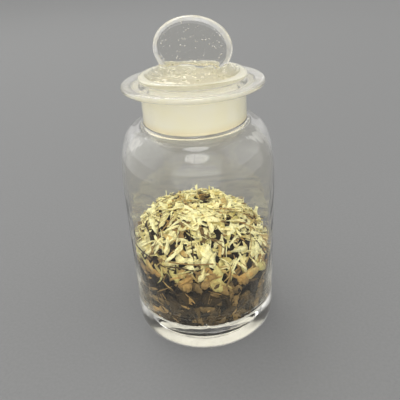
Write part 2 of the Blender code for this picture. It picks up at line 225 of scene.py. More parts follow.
class StageSettings(PropertyGroup):
    """Floor, light and camera."""

    floor_colour: colour("Floor", "Colour of the floor", (0.22, 0.22, 0.217))
    floor_radius: length("Floor radius", "How far the floor reaches", 4.0)
    floor_drop: length("Floor drop", "Hair's breadth between the bottle and the floor", 0.05 * MM)
    # Painted glow: reach and brightness of the disc whose emission stands in for the light the glass
    # gathers
    gather_radius: length("Gathered light", "Reach of the light that the glass gathers", 56 * MM)
    gather_strength: factor("Gathered strength", "Brightness of that light", 0.9)
    horizon: factor("Horizon", "Brightness of the room at eye level", 0.38)
    zenith: factor("Zenith", "Brightness of the room overhead", 0.20)
    over_glow: number("Overhead", "Soft light overhead", 5.5)
    left_glow: number("Left", "Soft light on the left", 1.0)
    right_glow: number("Right", "Soft light on the right", 0.95)
    front_glow: number("Front", "Soft light in front", 1.6)
    back_glow: number("Back", "Soft light high behind", 0.2)
    key_power: power("Key", "Power of the lamp behind on the left", 4.0)
    camera_back: length("Camera back", "From the axis to the lens, level", 153.56 * MM)
    camera_height: length("Camera height", "Height of the lens over the table", 133.73 * MM)
    camera_down: angle("Camera down", "How far the camera looks down", 28.42)
    camera_roll: angle("Camera roll", "How far the camera is rolled", -3.5)
    camera_round: angle("Camera round", "How far round the bottle the camera stands", 9)
    camera_lens: number("Lens", "Focal length in millimetres", 41.7)


# Shared steps

def settings(name):
    return getattr(bpy.context.scene, name)


def arc(centre, radius, start, end, points):
    """Points on a circle in the profile plane, from one angle in degrees to another."""
    angles = np.radians(np.linspace(start, end, points + 1))
    return [(centre[0] + radius * math.cos(a), centre[1] + radius * math.sin(a)) for a in angles]


def polar(radius, around, height=0.0):
    """Point at an angle round the Z axis."""
    return Vector((radius * math.cos(around), radius * math.sin(around), height))


def crown(radius, height, rise, points):
    """Shallow dome in profile, from its middle out to its edge."""
    angles = np.linspace(0, math.pi / 2, points + 1)
    return [(radius * math.sin(a), height + rise * math.cos(a)) for a in angles]


def smooth_step(value):
    value = min(max(value, 0), 1)
    return value * value * (3 - 2 * value)


def new_piece(name, shape, body, materials, crease=40):
    """Object made from a bmesh, riding on a body. The bmesh is freed."""
    mesh = bpy.data.meshes.new(name)
    shape.to_mesh(mesh)
    shape.free()
    for material in materials:
        mesh.materials.append(material)
    mesh.shade_smooth()
    mesh.set_sharp_from_angle(angle=math.radians(crease))
    piece = bpy.data.objects.new(name, mesh)
    bpy.context.scene.collection.objects.link(piece)
    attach(piece, body)
    return piece


def settled(shape):
    """Closed bmesh with its faces outward, and in one order, which otherwise differs from run to run."""
    bmesh.ops.recalc_face_normals(shape, faces=shape.faces)
    shape.verts.index_update()
    ordered = sorted(shape.faces, key=lambda face: sorted(vert.index for vert in face.verts))
    for place, face in enumerate(ordered):
        face.index = place
    shape.faces.sort()
    return shape


def turned(profile, steps):
    """Closed solid of revolution about Z, from a profile that ends on the axis at both ends."""
    shape = bmesh.new()
    points = [shape.verts.new((r, 0, z)) for r, z in profile]
    for a, b in zip(points, points[1:]):
        shape.edges.new((a, b))
    bmesh.ops.remove_doubles(shape, verts=shape.verts, dist=WELD)
    bmesh.ops.spin(
        shape,
        geom=shape.verts[:] + shape.edges[:],
        cent=(0, 0, 0),
        axis=(0, 0, 1),
        angle=FULL_TURN,
        steps=steps,
        use_merge=True,
    )
    bmesh.ops.remove_doubles(shape, verts=shape.verts, dist=WELD)
    return settled(shape)


# Node helpers

class Nodes:
    """Adds nodes to a tree from left to right and links them, up to the tree's output node."""

    def __init__(self, tree, output="ShaderNodeOutputMaterial"):
        self.tree = tree
        self.column = 0
        self.output = tree.nodes.new(output)

    def add(self, kind, values=None, **options):
        node = self.tree.nodes.new(kind)
        node.location = (self.column * NODE_STEP, 0)
        self.column += 1
        for name, value in options.items():
            setattr(node, name, value)
        for name, value in (values or {}).items():
            self.give(node.inputs[name], value)
        return node

    def give(self, socket, value):
        if isinstance(value, bpy.types.NodeSocket):
            self.tree.links.new(value, socket)
        else:
            socket.default_value = value

    def end(self, name, value):
        """Links a value to a socket of the tree's output node."""
        self.give(self.output.inputs[name], value)

    def matt(self, values):
        """Ends a material with one Principled shader."""
        self.end("Surface", self.add("ShaderNodeBsdfPrincipled", values).outputs[0])

    def maths(self, operation, a, b=0.0):
        return self.add("ShaderNodeMath", {0: a, 1: b}, operation=operation).outputs[0]

    def times(self, a, b):
        return self.maths("MULTIPLY", a, b)

    def noise(self, vector, scale, detail=2.0, roughness=0.5, distortion=0.0):
        values = {"Vector": vector, "Scale": scale, "Detail": detail}
        values |= {"Roughness": roughness, "Distortion": distortion}
        return self.add("ShaderNodeTexNoise", values).outputs["Fac"]

    def spread(self, value, low, high, to_low=0.0, to_high=1.0):
        values = {"Value": value, "From Min": low, "From Max": high, "To Min": to_low, "To Max": to_high}
        return self.add("ShaderNodeMapRange", values).outputs["Result"]

    def mix(self, factor, a, b, blend="MIX"):
        node = self.add("ShaderNodeMix", data_type="RGBA", blend_type=blend)
        self.give(node.inputs[0], factor)
        self.give(node.inputs[6], a if isinstance(a, bpy.types.NodeSocket) else (*a, 1))
        self.give(node.inputs[7], b if isinstance(b, bpy.types.NodeSocket) else (*b, 1))
        return node.outputs[2]

    def bump(self, height, distance):
        return self.add("ShaderNodeBump", {"Height": height, "Distance": distance}).outputs["Normal"]

    def group(self, name, values):
        return self.add("ShaderNodeGroup", values, node_tree=bpy.data.node_groups[name])

    def object_place(self):
        return self.add("ShaderNodeTexCoord").outputs["Object"]


def new_group(name, inputs, outputs):
    """Shader group with named sockets. Returns its nodes and its input node."""
    tree = bpy.data.node_groups.new(name, "ShaderNodeTree")
    for label, kind, default in inputs:
        socket = tree.interface.new_socket(label, in_out="INPUT", socket_type=kind)
        socket.default_value = default
    for label, kind in outputs:
        tree.interface.new_socket(label, in_out="OUTPUT", socket_type=kind)
    nodes = Nodes(tree, "NodeGroupOutput")
    return nodes, nodes.add("NodeGroupInput")


def new_material(name):
    """Material with an empty tree. Returns it and its nodes."""
    material = bpy.data.materials.new(name)
    material.use_nodes = True
    material.node_tree.nodes.clear()
    return material, Nodes(material.node_tree)


FLOAT = "NodeSocketFloat"
COLOUR = "NodeSocketColor"


def glass_wave_group():
    """Height of the slow waves and fine cords in hand-worked glass."""
    nodes, entry = new_group(
        "Glass Waves",
        [("Spacing", FLOAT, 120.0), ("Cords", FLOAT, 0.3)],
        [("Height", FLOAT)],
    )
    place = nodes.object_place()
    slow = nodes.noise(place, entry.outputs["Spacing"], detail=1.0)
    drawn = nodes.add("ShaderNodeMapping", {"Vector": place, "Scale": (1, 1, 0.25)}).outputs[0]
    finer = nodes.times(entry.outputs["Spacing"], 3.0)
    cords = nodes.noise(drawn, finer, detail=1.0, distortion=1.2)
    cords = nodes.times(cords, entry.outputs["Cords"])
    nodes.end("Height", nodes.maths("ADD", slow, cords))


def leaf_surface_group():
    """Veins, speckle and mottling of a dried flake, from its own UV map."""
    nodes, entry = new_group(
        "Leaf Surface",
        [("Colour", COLOUR, (1, 1, 1, 1)), ("Veins", FLOAT, 0.35), ("Speckle", FLOAT, 0.4)],
        [("Colour", COLOUR), ("Height", FLOAT)],
    )
    own = nodes.add("ShaderNodeUVMap", uv_map="leaf_map").outputs["UV"]
    parts = nodes.add("ShaderNodeSeparateXYZ", {"Vector": own})
    along, across = parts.outputs["X"], parts.outputs["Y"]
    beside = nodes.maths("ABSOLUTE", across)
    slanted = nodes.maths("ADD", along, nodes.times(beside, -0.8))
    ribs = nodes.maths("SINE", nodes.times(slanted, 9.0))
    ribs = nodes.spread(ribs, 0.75, 1.0)
    midrib = nodes.spread(beside, 0.10, 0.0)
    veins = nodes.maths("MAXIMUM", ribs, midrib)
    place = nodes.object_place()
    mottle = nodes.noise(place, 700.0, detail=3.0, roughness=0.65)
    specks = nodes.spread(nodes.noise(place, 2600.0, detail=2.0), 0.58, 0.72)
    lift = nodes.spread(mottle, 0.3, 0.7, 0.72, 1.25)
    tone = nodes.add("ShaderNodeCombineColor", {"Red": lift, "Green": lift, "Blue": lift}).outputs[0]
    shaded = nodes.mix(1.0, entry.outputs["Colour"], tone, blend="MULTIPLY")
    strength = nodes.times(veins, entry.outputs["Veins"])
    veined = nodes.mix(strength, shaded, (1.3, 1.28, 1.2), blend="MULTIPLY")
    spots = nodes.times(specks, entry.outputs["Speckle"])
    nodes.end("Colour", nodes.mix(spots, veined, (0.16, 0.11, 0.04)))
    nodes.end("Height", nodes.maths("ADD", veins, mottle))


def end_glass(nodes, values, passing_tint):
    """Ends a glass material: lamps shine through it, and so does light on its way to matt surfaces."""
    shader = nodes.add("ShaderNodeBsdfPrincipled", {"IOR": GLASS_IOR, **values}).outputs[0]
    passing = nodes.add("ShaderNodeBsdfTransparent", {"Color": (*passing_tint, 1)}).outputs[0]
    path = nodes.add("ShaderNodeLightPath")
    factor = nodes.maths("MAXIMUM", path.outputs["Is Shadow Ray"], path.outputs["Is Diffuse Ray"])
    nodes.end("Surface", nodes.add("ShaderNodeMixShader", {0: factor, 1: shader, 2: passing}).outputs[0])


def clear_glass(name, spacing, cords, depth):
    """Clear glass with slow waves in its surface."""
    material, nodes = new_material(name)
    waves = nodes.group("Glass Waves", {"Spacing": spacing, "Cords": cords}).outputs["Height"]
    values = {
        "Base Color": (0.985, 0.974, 0.93, 1),
        "Roughness": 0.0,
        "Transmission Weight": 1.0,
        "Normal": nodes.bump(waves, depth),
    }
    end_glass(nodes, values, (0.98, 0.98, 0.97))
    return material


def dulled_glass(name, roughness, transmission, mottle):
    """Whitish glass where it was never polished or has been rubbed, with cream and grey patches."""
    material, nodes = new_material(name)
    place = nodes.object_place()
    patches = nodes.noise(place, 260.0, detail=3.0, roughness=0.6, distortion=0.8)
    cream = nodes.mix(nodes.spread(patches, 0.38, 0.66), (0.98, 0.97, 0.94), (0.98, 0.94, 0.80))
    specks = nodes.spread(nodes.noise(place, 620.0, detail=2.0, distortion=0.6), 0.56, 0.70)
    tint = nodes.mix(nodes.times(specks, mottle), cream, (0.60, 0.60, 0.57))
    values = {"Base Color": tint, "Roughness": roughness, "Transmission Weight": transmission}
    end_glass(nodes, values, (0.8, 0.8, 0.8))
    return material


def ground_glass(name, edge_share, painted_shade_factor=1.0):
    """Cream frosted surface of the ground joint, yellower towards its lower edge, and darkened by a
    factor as painted shade.
    """
    bottle = settings("bottle_sizes")
    lower_edge = bottle.body_height + bottle.shoulder_height
    material, nodes = new_material(name)
    place = nodes.object_place()
    height = nodes.add("ShaderNodeSeparateXYZ", {"Vector": place}).outputs["Z"]
    grain = nodes.noise(place, 5200.0, detail=3.0, roughness=0.7)
    patches = nodes.noise(place, 160.0, detail=2.0)
    body = nodes.mix(nodes.spread(patches, 0.35, 0.65), (0.99, 0.94, 0.71), (1.0, 0.96, 0.78))
    yellow_from, yellow_full = lower_edge + 2.6 * MM, lower_edge - 0.6 * MM
    edge = nodes.spread(height, yellow_from, yellow_full)
    body = nodes.mix(nodes.times(edge, edge_share), body, (0.93, 0.78, 0.42))
    body = nodes.mix(nodes.spread(grain, 0.35, 0.75, 0.0, 0.12), body, (0.80, 0.76, 0.62))
    # Painted shade: the colour is multiplied down where the factor is below 1
    body = nodes.mix(1.0, body, (painted_shade_factor, painted_shade_factor, painted_shade_factor), blend="MULTIPLY")
    values = {
        "Base Color": body,
        "Roughness": 0.75,
        "Transmission Weight": 0.25,
        "Normal": nodes.bump(grain, 0.02 * MM),
    }
    end_glass(nodes, values, (0.88, 0.86, 0.78))
    return material


def leaf_material():
    """Dried leaf. Its hue runs from cream to brown with the flake's tone."""
    leaf = settings("leaf_sizes")
    material, nodes = new_material("dried_leaf")
    tone = nodes.add("ShaderNodeAttribute", attribute_name="leaf_tone").outputs["Fac"]
    ramp = nodes.add("ShaderNodeValToRGB", {"Fac": tone})
    stops = (
        (0.00, leaf.cream),
        (0.26, leaf.pale),
        (0.40, leaf.olive),
        (0.51, leaf.straw),
        (0.61, leaf.amber),
        (0.73, leaf.tan),
        (0.87, leaf.brown),
        (1.00, leaf.dark),
    )
    elements = ramp.color_ramp.elements
    while len(elements) < len(stops):
        elements.new(0.5)
    for element, (place, _) in zip(elements, stops):
        element.position = place
    for element, (_, tint) in zip(elements, stops):
        element.color = (*tint, 1)
    values = {"Colour": ramp.outputs["Color"], "Veins": 0.35, "Speckle": 0.4}
    surface = nodes.group("Leaf Surface", values)
    values = {
        "Base Color": surface.outputs["Colour"],
        "Roughness": 0.72,
        "Specular IOR Level": 0.15,
        "Normal": nodes.bump(surface.outputs["Height"], 0.05 * MM),
    }
    nodes.matt(values)
    return material


def shade_core_material():
    """Near-black inside of the heap, painted shade between the flakes, broken up into dark flakes."""
    leaf = settings("leaf_sizes")
    material, nodes = new_material("leaf_shade_core")
    place = nodes.object_place()
    cells = nodes.add("ShaderNodeTexVoronoi", {"Vector": place, "Scale": 420.0}).outputs["Color"]
    pick = nodes.add("ShaderNodeSeparateColor", {"Color": cells}).outputs[0]
    tint = nodes.mix(nodes.times(pick, 0.4), leaf.core, leaf.brown)
    values = {
        "Base Color": tint,
        "Roughness": 0.9,
        "Specular IOR Level": 0.0,
        "Normal": nodes.bump(pick, 0.4 * MM),
    }
    nodes.matt(values)
    return material


# Bottle

# Order of the materials on the bottle, and of the first three on the stopper
CLEAR, GROUND, DULLED, RUBBED = range(4)
WALL_POINTS = 14
RING_POINTS = 41
WAVE_STRETCH = 1.4
WAVE_FADE = 5


def shoulder(outer, inner, bottom, top):
    """Squared-off quarter curve from the body's radius up to the neck's fillet."""
    sizes = settings("bottle_sizes")
    power = 2 / sizes.shoulder_power
    angles = np.linspace(0, math.pi / 2, sizes.shoulder_points + 1)
    return [
        (
            inner + (outer - inner) * max(math.cos(a), 0) ** power,
            bottom + (top - bottom) * math.sin(a) ** power,
        )
        for a in angles
    ]


def bottle_heights():
    """Top of the lip, bottom of the ground bore, and the bore's radius there."""
    sizes = settings("bottle_sizes")
    lip_top = BOTTLE_BOX[1].z
    bore_bottom = sizes.body_height + sizes.shoulder_height - sizes.shoulder_wall + sizes.mouth_fillet
    taper = settings("stopper_sizes").joint_taper
    return lip_top, bore_bottom, sizes.mouth_diameter / 2 - (lip_top - bore_bottom) * taper / 2


def bottle_profile():
    """Profile from the middle of the floor up the inside, over the lip and down to the punt."""
    sizes = settings("bottle_sizes")
    points = sizes.arc_points
    body_radius = sizes.body_diameter / 2
    inner_radius = body_radius - sizes.body_wall
    shoulder_top = sizes.body_height + sizes.shoulder_height
    lip_top, bore_bottom, bore_radius = bottle_heights()
    floor_corner = (inner_radius - sizes.floor_radius, sizes.base_thickness + sizes.floor_radius)
    bore_corner = (bore_radius + sizes.mouth_fillet, bore_bottom)
    lip_half = sizes.lip_thickness / 2
    lip_edge = (sizes.lip_diameter / 2 - lip_half, lip_top - lip_half)
    flare = sizes.lip_flare
    neck_radius = sizes.neck_diameter / 2
    flare_corner = (neck_radius + flare, lip_top - sizes.lip_thickness - flare)
    neck_corner = (neck_radius + sizes.neck_fillet, shoulder_top + sizes.neck_fillet)
    heel_corner = (body_radius - sizes.heel_radius, sizes.heel_radius)
    rising = shoulder(body_radius, neck_corner[0], sizes.body_height, shoulder_top)
    rings_top = floor_corner[1] + sizes.ring_reach
    turns = FULL_TURN * sizes.ring_reach / sizes.ring_spacing
    ring_heights = np.linspace(floor_corner[1], rings_top, RING_POINTS)
    rings = [
        (inner_radius - sizes.ring_depth * (1 - math.cos(turns * up)) / 2 * (1 - up), z)
        for up, z in zip(np.linspace(0, 1, RING_POINTS), ring_heights)
    ]
    inside_wall = [(inner_radius, z) for z in np.linspace(rings_top, sizes.body_height, WALL_POINTS)]
    outside_wall = [
        (body_radius, z) for z in np.linspace(sizes.body_height, heel_corner[1], WALL_POINTS)
    ]
    return [
        *crown(floor_corner[0], sizes.base_thickness, sizes.floor_crown, 2 * points),
        *arc(floor_corner, sizes.floor_radius, -90, 0, points)[1:-1],
        *rings[:-1],
        *inside_wall[:-1],
        *shoulder(inner_radius, bore_corner[0], sizes.body_height, shoulder_top - sizes.shoulder_wall),
        *arc(bore_corner, sizes.mouth_fillet, -90, -180, points)[1:],
        (sizes.mouth_diameter / 2, lip_top),
        *arc(lip_edge, lip_half, 90, -90, points),
        *arc(flare_corner, flare, 90, 180, points),
        *arc(neck_corner, sizes.neck_fillet, 180, 270, points)[:-1],
        *reversed(rising),
        *outside_wall[1:-1],
        *arc(heel_corner, sizes.heel_radius, 0, -90, points),
        *reversed(crown(sizes.punt_diameter / 2, 0, sizes.punt_depth, 2 * points)),
    ]


def make_wavy(shape, bottom, top, depth, spacing):
    """Moves the walls between two heights in and out by slow noise, least near both ends."""
    for vert in shape.verts:
        rise = (vert.co.z - bottom) / (top - bottom)
        fade = smooth_step(rise * WAVE_FADE) * smooth_step((1 - rise) * WAVE_FADE)
        radius = vert.co.xy.length
        if not fade or radius < WELD:
            continue
        place = Vector((vert.co.x, vert.co.y, vert.co.z * WAVE_STRETCH))
        stray = depth * fade * noise.noise(place / spacing)
        vert.co.xy *= 1 + stray / radius


class BOTTLE_OT_bottle(Operator):
    """Make the bottle's glass with its ground bore"""

    bl_idname = "bottle.bottle"
    bl_label = "Bottle"

    def execute(self, context):
        sizes = settings("bottle_sizes")
        shape = turned(bottle_profile(), sizes.steps)
        lip_top, bore_bottom, bore_radius = bottle_heights()
        for face in shape.faces:
            middle = face.calc_center_median()
            in_bore = bore_bottom < middle.z < lip_top
            if in_bore and bore_radius - WELD * 10 < middle.xy.length < sizes.mouth_diameter / 2:
                face.material_index = GROUND
            elif middle.z > lip_top - sizes.lip_dulled:
                face.material_index = DULLED
            elif middle.z < sizes.base_dulled and middle.xy.length < sizes.body_diameter / 2 - WELD:
                face.material_index = RUBBED
        make_wavy(shape, 0, bore_bottom, sizes.wave, sizes.wave_spacing)
        materials = [
            clear_glass("bottle_glass", spacing=110.0, cords=0.35, depth=0.10 * MM),
            ground_glass("ground_bore", edge_share=0.7),
            dulled_glass("lip_edge", roughness=0.15, transmission=0.84, mottle=0.3),
            dulled_glass("base_underside", roughness=0.1, transmission=0.9, mottle=0.8),
        ]
        piece = new_piece("bottle_glass", shape, "bottle", materials, crease=50)
        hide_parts("bottle")
        return {"FINISHED"}


# Stopper

class StopperForm:
    """The stopper as one skin: rings run from the top of the grip down to the end of the plug.

    Shares run from 0 to 1, over the dome from its middle to its edge. The fades say how fast a
    form dies away at the edge of the dome, or comes in from where it starts.
    """

    GRIP_RINGS = 56
    FOOT_RINGS = 10
    DOME_RINGS = 20
    ROUNDING_RINGS = 7
    PLUG_RINGS = 8
    END_RINGS = 4
    FOOT_WANDER = 2.5
    DOME_POWER = 0.65
    EDGE_FADE = 15
    SWIRL_FADE = 2.5
    EDGE_SWIRL = 0.5
    RINGS_START = 0.7
    RINGS_FADE = 8
    BUBBLE_REACH = 0.84
    BUBBLE_DEPTH = 0.28

    def __init__(self):
        self.sizes = settings("stopper_sizes")
        sizes = self.sizes
        self.flange_bottom = BOTTLE_BOX[1].z + sizes.joint_gap
        self.flange_top = self.flange_bottom + sizes.flange_thickness
        self.centre = self.flange_top + sizes.grip_rise
        self.half_width = sizes.grip_width / 2
        self.half_height = sizes.grip_height / 2
        self.rings = [
            *self.rings_of(self.grip_point, self.GRIP_RINGS),
            *self.rings_of(self.foot_point, self.FOOT_RINGS),
            *self.rings_of(self.dome_point, self.DOME_RINGS),
            *self.turned_part(),
        ]

    def rings_of(self, form, rings):
        """Rings of one form from top to bottom. Each gives a point for an angle around."""
        for share in np.linspace(0, 1, rings + 1)[:-1]:
            yield lambda around, share=share: form(around, share)

    def waist(self, around):
        """Height at which the grip runs out into its foot."""
        stray = noise.noise(polar(self.FOOT_WANDER, around))
        return self.flange_top + self.sizes.foot_height + self.sizes.foot_stray * stray

    def slice_point(self, height, around):
        """Point of the upright oval's surface at a height, by angle around it."""
        up = min(max((height - self.centre) / self.half_height, -1), 1)
        half = self.half_width * math.sqrt(1 - up * up)
        x = half * math.cos(around)
        depth = self.half_height * (1 - math.hypot(x / self.half_width, up))
        inward = min(max(depth / self.sizes.grip_rounding, 0), 1)
        y = self.sizes.grip_thickness / 2 * math.sqrt(1 - (1 - inward) ** 2)
        return Vector((x, math.copysign(y, math.sin(around)), height))

    def rim_depth(self, point):
        """How far a point of the grip lies in from the oval's outline."""
        upright = self.lean(point, -1)
        up = (upright.z - self.centre) / self.half_height
        return self.half_height * (1 - math.hypot(upright.x / self.half_width, up))

    def dulled(self, face):
        """Whether a face belongs to the grip's moulded rim."""
        middle = face.calc_center_median()
        above = middle.z > self.flange_top + self.sizes.foot_height
        return above and self.rim_depth(middle) < self.sizes.rim_width

    def lean(self, point, amount):
        """Turns a point about the flange's top by a share of the grip's lean."""
        pivot = Vector((0, 0, self.flange_top))
        return Matrix.Rotation(self.sizes.grip_lean * amount, 3, "Y") @ (point - pivot) + pivot

    def grip_point(self, around, share):
        """Point of the leaning oval grip."""
        last = math.acos((self.waist(around) - self.centre) / self.half_height)
        height = self.centre + self.half_height * math.cos(last * share)
        return self.lean(self.slice_point(height, around), 1)

    def outward(self, around):
        """Direction square to the oval's outline at the waist."""
        step = FULL_TURN / self.sizes.steps
        ahead = self.slice_point(self.waist(around), around + step)
        behind = self.slice_point(self.waist(around), around - step)
        along = (ahead - behind).normalized()
        return Vector((along.y, -along.x, 0))

    def dome_height(self, point):
        """Height of the dome, with the swirls and the mould's rings left in it when it was pressed."""
        sizes = self.sizes
        radius = point.xy.length
        share = min(radius / (sizes.dome_diameter / 2), 1)
        twisted = Matrix.Rotation(radius / sizes.swirl_spacing, 2) @ point.xy
        swirl = noise.turbulence(Vector((*twisted, 0)) / sizes.swirl_spacing, 2, False)
        edge = smooth_step((1 - share) * self.EDGE_FADE)
        fade = max(smooth_step((1 - share) * self.SWIRL_FADE), self.EDGE_SWIRL * edge)
        ripple = math.sin(FULL_TURN * radius / sizes.ring_spacing)
        rings = ripple * smooth_step((share - self.RINGS_START) * self.RINGS_FADE)
        rise = sizes.dome_height * (1 - share**2) ** self.DOME_POWER
        return self.flange_top + rise + sizes.swirl * swirl * fade + sizes.ring_height * rings * edge

    def foot_point(self, around, share):
        """Hollow curve that leaves the grip upright and meets the dome level."""
        waist = self.waist(around)
        top = self.slice_point(waist, around)
        spread = self.sizes.foot_flare * (1 - math.cos(share * math.pi / 2))
        point = top + self.outward(around) * spread
        floor = self.dome_height(point)
        point.z = floor + (waist - floor) * (1 - math.sin(share * math.pi / 2))
        return self.lean(point, smooth_step(1 - share))

    def dome_point(self, around, share):
        """Point of the dome, between the foot and its edge."""
        edge = polar(self.sizes.dome_diameter / 2, around)
        point = self.foot_point(around, 1).lerp(edge, share)
        point.z = self.dome_height(point)
        return point

    def turned_part(self):
        """Rings of the flange and the plug, which are true circles."""
        sizes = self.sizes
        edge = sizes.flange_diameter / 2 - sizes.flange_rounding
        top_edge = (edge, self.flange_top - sizes.flange_rounding)
        bottom_edge = (edge, self.flange_bottom + sizes.flange_rounding)
        plug_top = settings("bottle_sizes").mouth_diameter / 2 - sizes.joint_gap
        plug_bottom = plug_top - sizes.plug_length * sizes.joint_taper / 2
        end = self.flange_bottom - sizes.plug_length
        side_end = end + sizes.plug_chamfer
        profile = [
            (sizes.dome_diameter / 2, self.flange_top),
            *arc(top_edge, sizes.flange_rounding, 90, 0, self.ROUNDING_RINGS),
            *arc(bottom_edge, sizes.flange_rounding, 0, -90, self.ROUNDING_RINGS),
            *zip(
                np.linspace(plug_top, plug_bottom, self.PLUG_RINGS + 1),
                np.linspace(self.flange_bottom, side_end, self.PLUG_RINGS + 1),
            ),
            *((r, end) for r in np.linspace(plug_bottom - sizes.plug_chamfer, 0, self.END_RINGS + 1)),
        ]
        for radius, height in profile:
            yield lambda around, radius=radius, height=height: polar(radius, around, height)

    def wrap(self):
        """A sphere whose rings are laid on the stopper's rings, from pole to pole."""
        shape = bmesh.new()
        last = len(self.rings) - 1
        bmesh.ops.create_uvsphere(shape, u_segments=self.sizes.steps, v_segments=last, radius=1)
        for vert in shape.verts:
            ring = round(math.acos(min(max(vert.co.z, -1), 1)) / math.pi * last)
            vert.co = self.rings[ring](math.atan2(vert.co.y, vert.co.x))
        return settled(shape)

    def add_bubbles(self, shape):
        """Seed bubbles in the grip: small hollows whose faces look into the air inside them."""
        sizes = self.sizes
        dice = random.Random(sizes.bubble_count)
        for _ in range(sizes.bubble_count):
            reach = self.BUBBLE_REACH * math.sqrt(dice.random())
            around = dice.uniform(0, FULL_TURN)
            place = Vector(
                (
                    self.half_width * reach * math.cos(around),
                    dice.uniform(-self.BUBBLE_DEPTH, self.BUBBLE_DEPTH) * sizes.grip_thickness,
                    self.centre + self.half_height * reach * math.sin(around),
                )
            )
            if place.z < self.flange_top + sizes.foot_height:
                continue
            radius = sizes.bubble_least + (sizes.bubble_most - sizes.bubble_least) * dice.random() ** 2
            made = bmesh.ops.create_icosphere(
                shape, subdivisions=2, radius=radius, matrix=Matrix.Translation(self.lean(place, 1))
            )
            faces = {face for vert in made["verts"] for face in vert.link_faces}
            bmesh.ops.reverse_faces(shape, faces=list(faces))


class BOTTLE_OT_stopper(Operator):
    """Make the glass stopper with its ground plug, dome and oval grip"""

    bl_idname = "bottle.stopper"
    bl_label = "Stopper"

    def execute(self, context):
        form = StopperForm()
        shape = form.wrap()
        for face in shape.faces:
            if face.calc_center_median().z < form.flange_bottom:
                face.material_index = GROUND
            elif form.dulled(face):
                face.material_index = DULLED
        form.add_bubbles(shape)
        materials = [
            clear_glass("stopper_glass", spacing=190.0, cords=0.25, depth=0.06 * MM),
            # Painted shade: the plug's ground glass is a darker copy of the bore's
            ground_glass("ground_plug", edge_share=0.2, painted_shade_factor=0.74),
            dulled_glass("moulded_rim", roughness=0.25, transmission=0.68, mottle=0.5),
        ]
        piece = new_piece("stopper_glass", shape, "stopper", materials, crease=50)
        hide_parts("stopper")
        return {"FINISHED"}


# Leaf

class Heap:
    """Where flakes may lie: the packed heap's surface, and the inside of the glass round it."""

    EDGE = 0.4 * MM

    def __init__(self):
        depsgraph = bpy.context.evaluated_depsgraph_get()
        self.solid = BVHTree.FromObject(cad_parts["leaf_heap"], depsgraph)
        self.low, self.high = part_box("leaf_heap")
        sizes = settings("bottle_sizes")
        clearance = settings("leaf_sizes").wall_clearance
        self.wall = sizes.body_diameter / 2 - sizes.body_wall - clearance
        self.floor = sizes.base_thickness + clearance
        self.floor_crown = sizes.floor_crown
        self.corner = sizes.floor_radius
        self.reach = (self.high.x - self.low.x) / 2 - self.EDGE

    def top(self, place):
        """Point and normal of the crown over a place."""
        above = Vector((place.x, place.y, self.high.z + MM))
        return self.solid.ray_cast(above, Vector((0, 0, -1)))[:2]

    def side_height(self, around):
        """Height at which the heap meets the wall."""
        return self.top(polar(self.reach, around))[0].z

    def side(self, outward, height):
        """Radius of the heap's side, which lies back from the wall in hollows."""
        point = self.solid.ray_cast(outward * self.wall * 2 + Vector((0, 0, height)), -outward)[0]
        return point.xy.length

    def room(self, height):
        """Radius inside the glass at a height."""
        below = max(self.floor + self.corner - height, 0)
        return self.wall - self.corner + math.sqrt(max(self.corner**2 - below**2, 0))

    def floor_height(self, radius):
        """Height of the glass floor at a radius."""
        share = min(radius / (self.wall - self.corner), 1)
        return self.floor + self.floor_crown * math.sqrt(1 - share * share)

    def kept_in(self, point):
        """The point, drawn in to the glass if it lies outside."""
        height = max(point.z, self.floor)
        radius = point.xy.length
        pull = min(1, self.room(height) / radius) if radius else 1
        return Vector((point.x * pull, point.y * pull, max(height, self.floor_height(radius * pull))))


